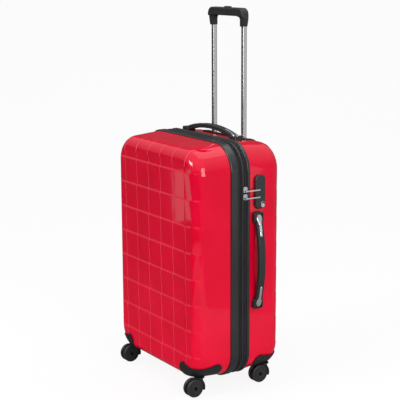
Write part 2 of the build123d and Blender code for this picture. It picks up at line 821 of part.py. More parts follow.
with BuildPart() as carry_inserts:
    with BuildSketch(Plane.XZ.offset(-carry_width / 2)):
        with BuildLine():
            ThreePointArc((-carry_end, carry_shoulder), carry_arc_mid, (carry_end, carry_shoulder))
            Line((carry_end, carry_shoulder), (carry_end, carry_shoulder + insert_wall))
            ThreePointArc(
                (carry_end, carry_shoulder + insert_wall),
                (0, carry_rise + insert_wall),
                (-carry_end, carry_shoulder + insert_wall),
            )
            Line((-carry_end, carry_shoulder + insert_wall), (-carry_end, carry_shoulder))
        make_face()
    extrude(amount=carry_width)
    with BuildSketch(Plane.XY):
        for side in (-1, 1):
            with Locations((side * (carry_end - 9), 0)):
                Circle(7)
            with Locations((side * (carry_end - 28), 0)):
                Rectangle(34, 6)
    extrude(amount=2 * carry_rise, mode=Mode.INTERSECT)


def carry_feet(place, blank):
    """Two feet that hold the grip's ends in pockets, cut to lie on the shell."""
    with BuildPart() as feet:
        for side in (-1, 1):
            with Locations((side * (foot_inner + foot_length / 2), 0, 0)):
                Box(foot_length, foot_width, 2 * foot_height)
        fillet(feet.edges().filter_by(Axis.Z), 7)
        fillet(feet.faces().sort_by(Axis.Z)[-2:].edges(), 2)
        for side in (-1, 1):
            span = carry_end + pocket_gap - foot_inner + 1
            with Locations((side * (carry_end + pocket_gap - span / 2), 0, carry_floor - pocket_gap)):
                Box(
                    span,
                    carry_width + 2 * pocket_gap,
                    foot_height,
                    align=(Align.CENTER, Align.CENTER, Align.MIN),
                    mode=Mode.SUBTRACT,
                )
            with Locations((side * (carry_end - carry_grip_end / 2), 0, carry_floor - pocket_gap)):
                Box(
                    carry_grip_end + 2 * pocket_gap,
                    carry_width + 2 * lug_proud + 2 * pocket_gap,
                    lug_wall + carry_lift + 2 * pocket_gap,
                    align=(Align.CENTER, Align.CENTER, Align.MIN),
                    mode=Mode.SUBTRACT,
                )
    return place * feet.part - blank


top_surface = case_top - (carry_y - back_trim_end) * end_slope
side_surface = side_x - (carry_y - back_trim_end) * side_slope
top_place = Pos(top_handle_x, carry_y, top_surface)
side_place = Pos(side_surface, carry_y, side_handle_z) * Rot(0, 90, 0)
save(top_place * carry_grip.part, "top_handle_grip")
save(top_place * carry_inserts.part, "top_handle_inserts")
save(carry_feet(top_place, back_outer), "top_handle_feet")
save(side_place * carry_grip.part, "side_handle_grip")
save(side_place * carry_inserts.part, "side_handle_inserts")
save(carry_feet(side_place, back_outer), "side_handle_feet")

# --- Lock on the right side --------------------------------------------------------------------

lock_surface = side_x - (lock_y - back_trim_end) * side_slope
lock_face = lock_surface + lock_proud
upper_bar_z = upper_slider_z - pull_bar_offset
lower_bar_z = lower_slider_z - pull_bar_offset
cam_x = lock_surface - lock_depth / 3
cam_room_right = key_y + cam_width / 2 + 2 * slider_gap
cam_room_left = key_y - cam_reach - 2 * slider_gap
cam_room_bottom = key_z - cam_width / 2 - slider_gap
cam_room_top = key_z + cam_reach + 2 * slider_gap

with BuildPart() as lock_body:
    with BuildSketch(Plane.YZ.offset(side_x - lock_depth)):
        with Locations((lock_y, lock_z)):
            RectangleRounded(lock_width, lock_height, lock_corner)
    extrude(amount=lock_face - side_x + lock_depth)
    fillet(lock_body.faces().sort_by(Axis.X)[-1].edges(), 3)
    add(back_outer - lock_hole, mode=Mode.SUBTRACT)
    with Locations((lock_surface - lock_depth / 2, lock_y, lock_z)):
        Box(lock_depth, lock_plug_width, lock_plug_height)
    with Locations((lock_face, pull_tip_y - 1, upper_bar_z), (lock_face, pull_tip_y - 1, lower_bar_z)):
        Box(8, 8, pull_width, mode=Mode.SUBTRACT)
    with Locations((cam_x, (cam_room_left + cam_room_right) / 2, (cam_room_bottom + cam_room_top) / 2)):
        Box(cam_room_wall, cam_room_right - cam_room_left, cam_room_top - cam_room_bottom, mode=Mode.SUBTRACT)
    with BuildSketch(Plane.YZ.offset(lock_surface)):
        with Locations((key_y, key_z)):
            Circle(key_radius + running_gap)
    extrude(amount=2 * lock_proud, mode=Mode.SUBTRACT)
    with BuildSketch(Plane.YZ.offset(cam_x)):
        with Locations((key_y, key_z)):
            Circle(key_stem_radius + running_gap)
    extrude(amount=lock_proud, mode=Mode.SUBTRACT)
save(lock_body.part, "lock_body")

with BuildPart() as key_cylinder:
    with BuildSketch(Plane.YZ.offset(lock_surface + slider_gap)):
        with Locations((key_y, key_z)):
            Circle(key_radius)
    extrude(amount=lock_proud)
    fillet(key_cylinder.faces().sort_by(Axis.X)[-1].edges(), 0.5)
    with Locations((lock_face + slider_gap, key_y, key_z)):
        Box(4, 1.2, 6, mode=Mode.SUBTRACT)
    with BuildSketch(Plane.YZ.offset(cam_x + cam_wall / 2)):
        with Locations((key_y, key_z)):
            Circle(key_stem_radius)
    extrude(amount=lock_surface + slider_gap - cam_x - cam_wall / 2)
save(key_cylinder.part, "key_cylinder")

# The cam points up when locked, and to the zip sliders' side when the key is turned.
with BuildPart() as lock_cam:
    with BuildSketch(Plane.YZ.offset(cam_x - cam_wall / 2)):
        with Locations((key_y, key_z)):
            Circle(cam_width / 2)
        with Locations((key_y, key_z + (cam_reach - cam_width / 2) / 2)):
            Rectangle(cam_width, cam_reach - cam_width / 2)
        with Locations((key_y, key_z + cam_reach - cam_width / 2)):
            Circle(cam_width / 2)
    extrude(amount=cam_wall)
save(lock_cam.part, "lock_cam")

# --- Zip sliders with their pull tabs -----------------------------------------------------------

slider_floor = side_x + welt_proud + slider_gap
slider_top = slider_floor + slider_wall
bar_x = slider_top + 3.2
pull_hub = 2.0
bar_post = 1.2


def zip_slider(middle_z, bar_z):
    """Slider plate over the zip, a lip down beside the coil, and a bar on two posts for the pull tab."""
    with BuildPart() as slider:
        with BuildSketch(Plane.YZ.offset(slider_floor)):
            with Locations((zip_seam - slider_gap, middle_z)):
                RectangleRounded(slider_width, slider_length, 3)
        extrude(amount=slider_wall)
        lip_inner = zip_seam + seam_gap / 2 + zip_coil + slider_gap
        lip_outer = zip_seam - slider_gap + slider_width / 2
        with Locations((slider_floor, (lip_inner + lip_outer) / 2, middle_z)):
            Box(2 * (slider_floor - side_x - slider_gap), lip_outer - lip_inner, slider_length - 6)
        for side in (-1, 1):
            post_z = bar_z + side * (pull_width / 2 + slider_gap + bar_post / 2)
            with Locations(((slider_top + bar_x + pull_bar_radius) / 2 - 0.5, zip_seam, post_z)):
                Box(bar_x + pull_bar_radius - slider_top + 1, 3, bar_post)
        with BuildSketch(Plane.XY.offset(bar_z - pull_width / 2 - slider_gap - 0.1)):
            with Locations((bar_x, zip_seam)):
                Circle(pull_bar_radius)
        extrude(amount=pull_width + 2 * slider_gap + 0.2)
    return slider.part


def pull_tab(bar_z):
    """Flat pull tab with an eye round the slider's bar; its tip lies over a slot of the lock."""
    with BuildPart() as pull:
        with BuildSketch(Plane.XY.offset(bar_z - pull_width / 2)):
            with Locations((bar_x, zip_seam)):
                Circle(pull_hub)
            with Locations((bar_x + pull_hub - pull_thickness / 2, (zip_seam + pull_tip_y) / 2)):
                Rectangle(pull_thickness, pull_tip_y - zip_seam)
            with Locations((bar_x, zip_seam)):
                Circle(pull_bar_radius + running_gap, mode=Mode.SUBTRACT)
        extrude(amount=pull_width)
    return pull.part


save(zip_slider(upper_slider_z, upper_bar_z), "zip_slider_upper")
save(zip_slider(lower_slider_z, lower_bar_z), "zip_slider_lower")
save(pull_tab(upper_bar_z), "pull_tab_upper")
save(pull_tab(lower_bar_z), "pull_tab_lower")
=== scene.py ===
import math
import bmesh
import bpy
from mathutils.bvhtree import BVHTree
from mathutils import Matrix, Vector


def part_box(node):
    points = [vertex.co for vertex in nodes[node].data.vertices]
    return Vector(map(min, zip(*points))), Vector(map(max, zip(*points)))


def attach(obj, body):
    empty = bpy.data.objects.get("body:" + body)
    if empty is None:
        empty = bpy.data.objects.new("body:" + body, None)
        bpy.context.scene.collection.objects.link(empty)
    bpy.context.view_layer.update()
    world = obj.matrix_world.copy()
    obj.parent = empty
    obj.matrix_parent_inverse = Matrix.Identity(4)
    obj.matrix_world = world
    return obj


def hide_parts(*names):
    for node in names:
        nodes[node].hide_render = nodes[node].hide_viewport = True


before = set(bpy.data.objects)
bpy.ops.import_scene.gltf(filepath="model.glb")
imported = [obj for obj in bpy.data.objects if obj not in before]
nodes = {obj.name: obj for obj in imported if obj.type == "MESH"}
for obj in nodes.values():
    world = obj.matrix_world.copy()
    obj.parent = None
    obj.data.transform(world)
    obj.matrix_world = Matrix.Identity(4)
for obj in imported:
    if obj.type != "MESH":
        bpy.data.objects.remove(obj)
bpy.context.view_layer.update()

# --- Studio ---------------------------------------------------------------------------------
# A white paper sweep stands behind and under the suitcase. Two soft boxes and a top light give
# the long soft reflections that polished shells are shown with.


def srgb(value):
    """Linear colour of an sRGB hex value such as "C8002B"."""
    channels = [int(value[i : i + 2], 16) / 255 for i in (0, 2, 4)]
    return (*[c / 12.92 if c <= 0.04045 else ((c + 0.055) / 1.055) ** 2.4 for c in channels], 1.0)


def add(tree, kind, settings=None, links=None):
    """New node in a tree: lower-case settings are its own, the others and the links are its inputs'."""
    made = tree.nodes.new(kind)
    for key, value in (settings or {}).items():
        if isinstance(key, str) and key.islower():
            setattr(made, key, value)
        else:
            made.inputs[key].default_value = value
    for key, socket in (links or {}).items():
        tree.links.new(socket, made.inputs[key])
    return made


def new_material(name):
    """Empty material and its node tree."""
    made = bpy.data.materials.new(name)
    made.use_nodes = True
    made.node_tree.nodes.clear()
    return made, made.node_tree


def show_shader(tree, socket):
    add(tree, "ShaderNodeOutputMaterial", {}, {"Surface": socket})


def paper_white():
    """Matt white paper: it shows as white, and keeps a soft shadow; in reflections it glows with a painted shade
    that is darker towards low X.
    """
    made, tree = new_material("white_paper")
    paper = add(tree, "ShaderNodeBsdfDiffuse", {"Color": srgb("F4F4F4")})
    ray = add(tree, "ShaderNodeLightPath")
    place = add(
        tree,
        "ShaderNodeSeparateXYZ",
        {},
        {"Vector": add(tree, "ShaderNodeTexCoord").outputs["Object"]},
    )
    # Painted shade in reflections: glossy rays see the paper glow from 0.1 at X = 0 to 0.5 at X = 0.9 instead of lit
    # paper.
    shaded = add(
        tree,
        "ShaderNodeMapRange",
        {"From Min": 0.0, "From Max": 0.9, "To Min": 0.1, "To Max": 0.5},
        {"Value": place.outputs["X"]},
    )
    level = add(
        tree,
        "ShaderNodeMixRGB",
        {"Color1": (1.0, 1.0, 1.0, 1.0)},
        {"Fac": ray.outputs["Is Glossy Ray"], "Color2": shaded.outputs[0]},
    )
    glow = add(tree, "ShaderNodeEmission", {"Strength": 1.0}, {"Color": level.outputs[0]})
    seen = add(
        tree,
        "ShaderNodeMath",
        {"operation": "MAXIMUM"},
        {0: ray.outputs["Is Camera Ray"], 1: ray.outputs["Is Transmission Ray"]},
    )
    shown = add(tree, "ShaderNodeMath", {"operation": "MULTIPLY", 1: 0.9}, {0: seen.outputs[0]})
    share = add(
        tree,
        "ShaderNodeMath",
        {"operation": "MAXIMUM"},
        {0: shown.outputs[0], 1: ray.outputs["Is Glossy Ray"]},
    )
    mixed = add(
        tree,
        "ShaderNodeMixShader",
        {},
        {0: share.outputs[0], 1: paper.outputs[0], 2: glow.outputs[0]},
    )
    show_shader(tree, mixed.outputs[0])
    return made


def mesh_piece(name, vertices, faces, finish=None, smooth=True):
    """New object with a mesh of its own, at the origin."""
    mesh = bpy.data.meshes.new(name)
    mesh.from_pydata([tuple(v) for v in vertices], [], [tuple(f) for f in faces])
    mesh.validate()
    if smooth:
        mesh.shade_smooth()
    piece = bpy.data.objects.new(name, mesh)
    bpy.context.scene.collection.objects.link(piece)
    if finish:
        mesh.materials.append(finish)
    return piece


def paper_sweep():
    """Strip of paper that runs under the suitcase, widens behind it and curves up into a backdrop."""
    near, behind, bend, height = 1.6, 4.0, 1.5, 5.0
    half_near, half_far = 0.55, 1.7
    toward = Vector((0.841, -0.541, 0.0))
    across = Vector((0.541, 0.841, 0.0))
    steps = 12
    profile = [(near, 0.0), (0.0, 0.0), (-behind + bend, 0.0)]
    for i in range(1, steps + 1):
        angle = math.pi / 2 * i / steps
        profile.append((-behind + bend - bend * math.sin(angle), bend - bend * math.cos(angle)))
    profile.append((-behind, height))
    vertices = []
    for run, rise in profile:
        half = half_near + (half_far - half_near) * (near - run) / (near + behind)
        for side in (-half, half):
            vertices.append(toward * run + across * side + Vector((0, 0, rise)))
    faces = [(2 * i, 2 * i + 1, 2 * i + 3, 2 * i + 2) for i in range(len(profile) - 1)]
    return mesh_piece("paper_sweep", vertices, faces, paper_white())


paper_sweep()

camera = bpy.data.objects.new("camera", bpy.data.cameras.new("camera"))
bpy.context.scene.collection.objects.link(camera)
camera.data.lens = 104.92
camera.data.sensor_width = 36.0
camera_place = Vector((2.64681, -1.69316, 1.12597))
camera_back = Vector((0.8242, -0.5303, 0.1987)).normalized()
camera_right = Vector((0.5411, 0.8409, 0.0)).normalized()
camera_up = camera_back.cross(camera_right)
camera_roll = math.radians(-0.27)
rolled_right = camera_right * math.cos(camera_roll) + camera_up * math.sin(camera_roll)
rolled_up = camera_up * math.cos(camera_roll) - camera_right * math.sin(camera_roll)
turn = Matrix((rolled_right, rolled_up, camera_back)).transposed().to_4x4()
camera.matrix_world = Matrix.Translation(camera_place) @ turn
camera.data.clip_start = 0.05
camera.data.clip_end = 60.0
bpy.context.scene.camera = camera


def soft_box(name, place, target, width, height, radiance):
    """Soft box that faces a target: its light is given as the brightness of its front."""
    lamp = bpy.data.lights.new(name, "AREA")
    lamp.shape = "RECTANGLE"
    lamp.size, lamp.size_y = width, height
    lamp.energy = radiance * math.pi * width * height
    holder = bpy.data.objects.new(name, lamp)
    bpy.context.scene.collection.objects.link(holder)
    holder.location = place
    away = Vector(place) - Vector(target)
    holder.rotation_mode = "QUATERNION"
    holder.rotation_quaternion = away.to_track_quat("Z", "Y")
    holder.visible_camera = False


case_middle = (0.0, 0.0, 0.4)
soft_box("soft_box_right", (2.9, -0.2, 1.3), case_middle, 1.4, 1.8, 5.4)
soft_box("soft_box_front", (-0.3, -3.4, 2.6), case_middle, 1.4, 1.0, 14.5)
soft_box("window_card", (-1.14, -0.96, 0.16), (0.12, -0.14, 0.54), 0.24, 0.2, 0.6)
soft_box("side_card", (2.3, 1.5, 0.45), (0.07, 0.1, 0.8), 0.5, 1.3, 0.55)
soft_box("top_light", (0.0, 0.6, 2.8), case_middle, 1.8, 1.8, 0.9)


def studio_world():
    """Grey studio that is dark round the floor and bright overhead, with white behind everything seen."""
    room = bpy.data.worlds.new("studio_room")
    room.use_nodes = True
    tree = room.node_tree
    tree.nodes.clear()
    direction = add(tree, "ShaderNodeTexCoord").outputs["Generated"]
    rise = add(tree, "ShaderNodeSeparateXYZ", {}, {"Vector": direction})
    grey = add(tree, "ShaderNodeValToRGB", {}, {"Fac": rise.outputs["Z"]})
    grey.color_ramp.elements[0].position, grey.color_ramp.elements[0].color = 0.0, (0.10, 0.10, 0.10, 1.0)
    grey.color_ramp.elements[1].position, grey.color_ramp.elements[1].color = 0.75, (0.95, 0.95, 0.95, 1.0)
    pull = add(
        tree,
        "ShaderNodeVectorMath",
        {"operation": "DOT_PRODUCT", 1: (0.84, 0.54, 0.0)},
        {0: direction},
    )
    lit = add(
        tree,
        "ShaderNodeMapRange",
        {"From Min": -0.4, "From Max": 0.7, "To Min": 0.02, "To Max": 0.3},
        {"Value": pull.outputs["Value"]},
    )
    bright = add(
        tree,
        "ShaderNodeMixRGB",
        {"blend_type": "LIGHTEN", "Fac": 1.0},
        {"Color1": grey.outputs["Color"], "Color2": lit.outputs[0]},
    )
    light = add(tree, "ShaderNodeBackground", {"Strength": 0.85}, {"Color": bright.outputs[0]})
    white = add(tree, "ShaderNodeBackground", {"Color": srgb("FFFFFF"), "Strength": 1.0})
    ray = add(tree, "ShaderNodeLightPath")
    mixed = add(
        tree,
        "ShaderNodeMixShader",
        {},
        {0: ray.outputs["Is Camera Ray"], 1: light.outputs[0], 2: white.outputs[0]},
    )
    add(tree, "ShaderNodeOutputWorld", {}, {"Surface": mixed.outputs[0]})
    return room


bpy.context.scene.world = studio_world()
bpy.context.scene.view_settings.view_transform = "Standard"

# --- Shells ---------------------------------------------------------------------------------
# The two halves are vacuum-formed from sheet polycarbonate, dyed red through and polished.
# Each face is pressed into rows of tilted tiles; the form rounds every crease a little.


half_width_x, face_depth, case_top = 0.21, 0.138, 0.667
tile_pitch, edge_rounding, outline_corner = 0.0623, 0.038, 0.072
top_draft, side_slope = math.tan(math.radians(5.0)), math.tan(math.radians(2.2))


def polished_polycarbonate():
    """Deep red sheet with a glassy skin, faintly wavy, with a painted highlight: a paler line along each column
    crease.
    """
    made, tree = new_material("polished_polycarbonate_red")
    place = add(tree, "ShaderNodeTexCoord").outputs["Object"]
    depth = add(tree, "ShaderNodeTexNoise", {"Scale": 9.0, "Detail": 2.0}, {"Vector": place})
    colour = add(tree, "ShaderNodeValToRGB", {}, {"Fac": depth.outputs["Fac"]})
    colour.color_ramp.elements[0].color = srgb("D60029")
    colour.color_ramp.elements[0].position = 0.3
    colour.color_ramp.elements[1].color = srgb("E20232")
    colour.color_ramp.elements[1].position = 0.7
    axes = add(tree, "ShaderNodeSeparateXYZ", {}, {"Vector": place})
    # Painted highlight: a pale pink line, 1.1 mm either side of each column boundary on the front and back faces,
    # stands in for the light that the creases catch.
    column = add(tree, "ShaderNodeMath", {"operation": "DIVIDE", 1: tile_pitch}, {0: axes.outputs["X"]})
    across = add(tree, "ShaderNodeMath", {"operation": "FRACT"}, {0: column.outputs[0]})
    away = add(
        tree,
        "ShaderNodeMath",
        {"operation": "COMPARE", 1: 0.5, 2: 0.0011 / tile_pitch},
        {0: across.outputs[0]},
    )
    outward = add(tree, "ShaderNodeMath", {"operation": "ABSOLUTE"}, {0: axes.outputs["Y"]})
    on_face = add(
        tree,
        "ShaderNodeMapRange",
        {"From Min": 0.098, "From Max": 0.118, "To Min": 0.0, "To Max": 0.42},
        {"Value": outward.outputs[0]},
    )
    crease = add(
        tree,
        "ShaderNodeMath",
        {"operation": "MULTIPLY"},
        {0: away.outputs[0], 1: on_face.outputs[0]},
    )
    crease_highlight_colour = add(
        tree,
        "ShaderNodeMixRGB",
        {"Color2": srgb("F4708A")},
        {"Fac": crease.outputs[0], "Color1": colour.outputs["Color"]},
    )
    wave = add(tree, "ShaderNodeTexNoise", {"Scale": 22.0, "Detail": 1.0}, {"Vector": place})
    ripple = add(
        tree,
        "ShaderNodeBump",
        {"Strength": 0.12, "Distance": 0.001},
        {"Height": wave.outputs["Fac"]},
    )
    haze = add(tree, "ShaderNodeTexNoise", {"Scale": 160.0, "Detail": 4.0}, {"Vector": place})
    rubbed = add(
        tree,
        "ShaderNodeMapRange",
        {"From Min": 0.35, "From Max": 0.7, "To Min": 0.03, "To Max": 0.07},
        {"Value": haze.outputs["Fac"]},
    )
    skin = add(
        tree,
        "ShaderNodeBsdfPrincipled",
        {"IOR": 1.49},
        {"Base Color": crease_highlight_colour.outputs[0], "Roughness": rubbed.outputs[0], "Normal": ripple.outputs[0]},
    )
    show_shader(tree, skin.outputs[0])
    return made


def merged_copy(node, name):
    """New object with a node's own mesh, its doubles merged and its flat stretches dissolved."""
    shape = bmesh.new()
    shape.from_mesh(nodes[node].data)
    bmesh.ops.remove_doubles(shape, verts=shape.verts, dist=0.00001)
    bmesh.ops.dissolve_limit(shape, angle_limit=math.radians(0.2), verts=shape.verts, edges=shape.edges)
    mesh = bpy.data.meshes.new(name)
    shape.to_mesh(mesh)
    shape.free()
    piece = bpy.data.objects.new(name, mesh)
    bpy.context.scene.collection.objects.link(piece)
    return piece


def apply_modifiers(piece):
    """Turns a piece's modifiers into mesh."""
    seen = piece.evaluated_get(bpy.context.evaluated_depsgraph_get())
    mesh = bpy.data.meshes.new_from_object(seen)
    piece.modifiers.clear()
    piece.data = mesh
    return piece


def soften(piece, width, angle, segments=2):
    """Rounds every crease sharper than an angle, in degrees, and shades the rest smooth."""
    bevel = piece.modifiers.new("edge_radius", "BEVEL")
    bevel.width = width
    bevel.segments = segments
    bevel.limit_method = "ANGLE"
    bevel.angle_limit = math.radians(angle)
    bevel.use_clamp_overlap = True
    bevel.miter_outer = "MITER_ARC"
    apply_modifiers(piece)
    piece.data.shade_smooth()
    weight = piece.modifiers.new("flat_faces_rule", "WEIGHTED_NORMAL")
    weight.keep_sharp = True
    weight.weight = 60
    return apply_modifiers(piece)


def dress(piece, body, node, finish):
    """The piece rides on a body, stands for a node and has a finish."""
    piece.data.materials.clear()
    piece.data.materials.append(finish)
    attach(piece, body)
    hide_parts(node)


def finish_node(node, finish):
    """Gives a node that keeps its own mesh a finish."""
    for slot in nodes[node].material_slots:
        slot.material = finish


red_skin = polished_polycarbonate()
for half in ("front", "back"):
    shell = soften(merged_copy(f"{half}_shell", f"{half}_shell_formed"), 0.0007, 8.0)
    dress(shell, f"{half}_case", f"{half}_shell", red_skin)



def face_outward(piece):
    """Turn every face of a closed piece outward."""
    shape = bmesh.new()
    shape.from_mesh(piece.data)
    bmesh.ops.recalc_face_normals(shape, faces=shape.faces)
    shape.to_mesh(piece.data)
    shape.free()


def edge_creases(name, side):
    """Fine raised creases between the columns of tiles, where they bend over the top edge of a half."""
    half_width, proud, steps = 0.0014, 0.0007, 14
    centre_y = face_depth - edge_rounding
    centre_z = case_top - (centre_y - 0.03) * top_draft - edge_rounding
    vertices, faces = [], []
    for column in range(6):
        x = (column - 2.5) * tile_pitch
        turn = max(0.0, abs(x) + 0.0005 - (half_width_x - outline_corner))
        drop = outline_corner - math.sqrt(outline_corner**2 - turn**2)
        for i in range(steps + 1):
            angle = math.radians(-4.0 + 92.0 * i / steps)
            lift = edge_rounding + proud * math.sin(math.pi * min(1.0, i / steps + 0.25)) ** 0.5
            low = edge_rounding - 0.0006
            for across, reach in ((-half_width, low), (0.0, lift), (half_width, low)):
                y = centre_y + reach * math.cos(angle)
                vertices.append((x + across, side * y, centre_z - drop + reach * math.sin(angle)))
        first = column * (steps + 1) * 3
        for i in range(steps):
            for k in range(3):
                a, b = first + i * 3 + k, first + i * 3 + (k + 1) % 3
                faces.append((a, b, b + 3, a + 3))
        faces.append((first, first + 1, first + 2))
        last = first + steps * 3
        faces.append((last + 2, last + 1, last))
    piece = mesh_piece(name, vertices, faces, red_skin)
    face_outward(piece)
    return piece


for half, side in (("front", -1), ("back", 1)):
    creases = edge_creases(f"{half}_shell_creases", side)
    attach(creases, f"{half}_case")

# --- Trim frames ----------------------------------------------------------------------------
# A rounded strip is moulded round the rim of each half and stitched to the zip tape.
# It is black ABS with a satin mould finish.


def moulded_black(name, colour, roughness, grain, depth, coat=0.0):
    """Black moulded plastic: an even colour with a fine spark-eroded grain, drawn at its size in mm."""
    made, tree = new_material(name)
    place = add(tree, "ShaderNodeTexCoord").outputs["Object"]
    pits = add(tree, "ShaderNodeTexNoise", {"Scale": 1000.0 / grain, "Detail": 3.0}, {"Vector": place})
    relief = add(
        tree,
        "ShaderNodeBump",
        {"Strength": depth, "Distance": 0.0003},
        {"Height": pits.outputs["Fac"]},
    )
    cloud = add(tree, "ShaderNodeTexNoise", {"Scale": 35.0, "Detail": 4.0}, {"Vector": place})
    worn = add(
        tree,
        "ShaderNodeMapRange",
        {"From Min": 0.3, "From Max": 0.7, "To Min": roughness - 0.05, "To Max": roughness + 0.06},
        {"Value": cloud.outputs["Fac"]},
    )
    tone = add(tree, "ShaderNodeValToRGB", {}, {"Fac": cloud.outputs["Fac"]})
    tone.color_ramp.elements[0].color = srgb(colour)
    tone.color_ramp.elements[1].color = [min(1.0, c * 1.25) for c in srgb(colour)[:3]] + [1.0]
    skin = add(
        tree,
        "ShaderNodeBsdfPrincipled",
        {"IOR": 1.54, "Coat Weight": coat, "Coat Roughness": 0.12},
        {"Base Color": tone.outputs["Color"], "Roughness": worn.outputs[0], "Normal": relief.outputs[0]},
    )
    show_shader(tree, skin.outputs[0])
    return made


satin_abs = moulded_black("satin_abs_black", "1E1E20", 0.34, 0.5, 0.15, 0.3)
for node in ("front_trim", "back_trim"):
    finish_node(node, satin_abs)

# --- Zips -----------------------------------------------------------------------------------
# Nylon coil zips run round the case: one opens it, one lets the front half stand 38 mm further
# out. Each coil is wound from black monofilament and sewn to a woven polyester tape.


def woven_cloth(name, warp, weft, thread, roughness, depth, sheen=0.2):
    """Plain woven cloth: crossing threads of two tones, drawn at a thread width in mm."""
    made, tree = new_material(name)
    place = add(tree, "ShaderNodeTexCoord").outputs["Object"]
    scale = 1000.0 / thread / 6.2832 * 3.1416 / 5
    across = add(
        tree,
        "ShaderNodeTexWave",
        {"bands_direction": "DIAGONAL", "Scale": scale, "Distortion": 0.4, "Detail": 1.0},
        {"Vector": place},
    )
    turned = add(
        tree,
        "ShaderNodeMapping",
        {"Rotation": (0.0, 0.0, math.pi / 2), "Scale": (1.0, 1.0, -1.0)},
        {"Vector": place},
    )
    along = add(
        tree,
        "ShaderNodeTexWave",
        {"bands_direction": "DIAGONAL", "Scale": scale, "Distortion": 0.4, "Detail": 1.0},
        {"Vector": turned.outputs["Vector"]},
    )
    crossing = add(
        tree,
        "ShaderNodeMath",
        {"operation": "MULTIPLY"},
        {0: across.outputs["Fac"], 1: along.outputs["Fac"]},
    )
    fade = add(tree, "ShaderNodeTexNoise", {"Scale": 18.0, "Detail": 3.0}, {"Vector": place})
    shade = add(
        tree,
        "ShaderNodeMath",
        {"operation": "MULTIPLY_ADD", 1: 0.7},
        {0: crossing.outputs[0], 2: fade.outputs["Fac"]},
    )
    tone = add(tree, "ShaderNodeValToRGB", {}, {"Fac": shade.outputs[0]})
    tone.color_ramp.elements[0].color = srgb(warp)
    tone.color_ramp.elements[0].position = 0.3
    tone.color_ramp.elements[1].color = srgb(weft)
    tone.color_ramp.elements[1].position = 0.9
    relief = add(
        tree,
        "ShaderNodeBump",
        {"Strength": depth, "Distance": 0.0004},
        {"Height": crossing.outputs[0]},
    )
    cloth = add(
        tree,
        "ShaderNodeBsdfPrincipled",
        {"Roughness": roughness, "Sheen Weight": sheen, "Sheen Roughness": 0.4},
        {"Base Color": tone.outputs["Color"], "Normal": relief.outputs[0]},
    )
    show_shader(tree, cloth.outputs[0])
    return made


def nylon_coil_finish():
    """Drawn nylon monofilament, dyed black: smooth and slightly waxy, each turn catches a small light."""
    made, tree = new_material("nylon_coil_black")
    place = add(tree, "ShaderNodeTexCoord").outputs["Object"]
    dust = add(tree, "ShaderNodeTexNoise", {"Scale": 300.0, "Detail": 2.0}, {"Vector": place})
    tone = add(tree, "ShaderNodeValToRGB", {}, {"Fac": dust.outputs["Fac"]})
    tone.color_ramp.elements[0].color = srgb("19191B")
    tone.color_ramp.elements[1].color = srgb("2C2C2F")
    skin = add(
        tree,
        "ShaderNodeBsdfPrincipled",
        {"Roughness": 0.3, "IOR": 1.53},
        {"Base Color": tone.outputs["Color"]},
    )
    show_shader(tree, skin.outputs[0])
    return made


nylon_coil = nylon_coil_finish()
case_low, case_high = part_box("main_zip_back")
coil_proud = 0.002
outline_width = case_high.x - case_low.x - 2 * coil_proud
outline_height = case_high.z - case_low.z - 2 * coil_proud
outline_middle = (case_high.z + case_low.z) / 2


def coil_turn(width):
    """One turn of the coil: a strand that arches over the edge of the tape, a few faces only."""
    strand, arch_steps, sides = 0.00042, 5, 4
    vertices, faces = [], []
    for i in range(arch_steps + 1):
        angle = math.pi * i / arch_steps
        middle = Vector(
            (math.sin(angle) * (coil_proud - strand) + 0.0002, -math.cos(angle) * (width / 2 - strand), 0.0)
        )
        out = Vector((math.sin(angle), -math.cos(angle), 0.0))
        for k in range(sides):
            around = 2 * math.pi * (k + 0.5) / sides
            vertices.append(
                middle + out * strand * math.cos(around) + Vector((0, 0, strand * 1.5 * math.sin(around)))
            )
    for i in range(arch_steps):
        for k in range(sides):
            a, b = i * sides + k, i * sides + (k + 1) % sides
            faces.append((a, b, b + sides, a + sides))
    faces.append(tuple(range(sides))[::-1])
    faces.append(tuple(arch_steps * sides + k for k in range(sides)))
    return mesh_piece("coil_turn", vertices, faces)


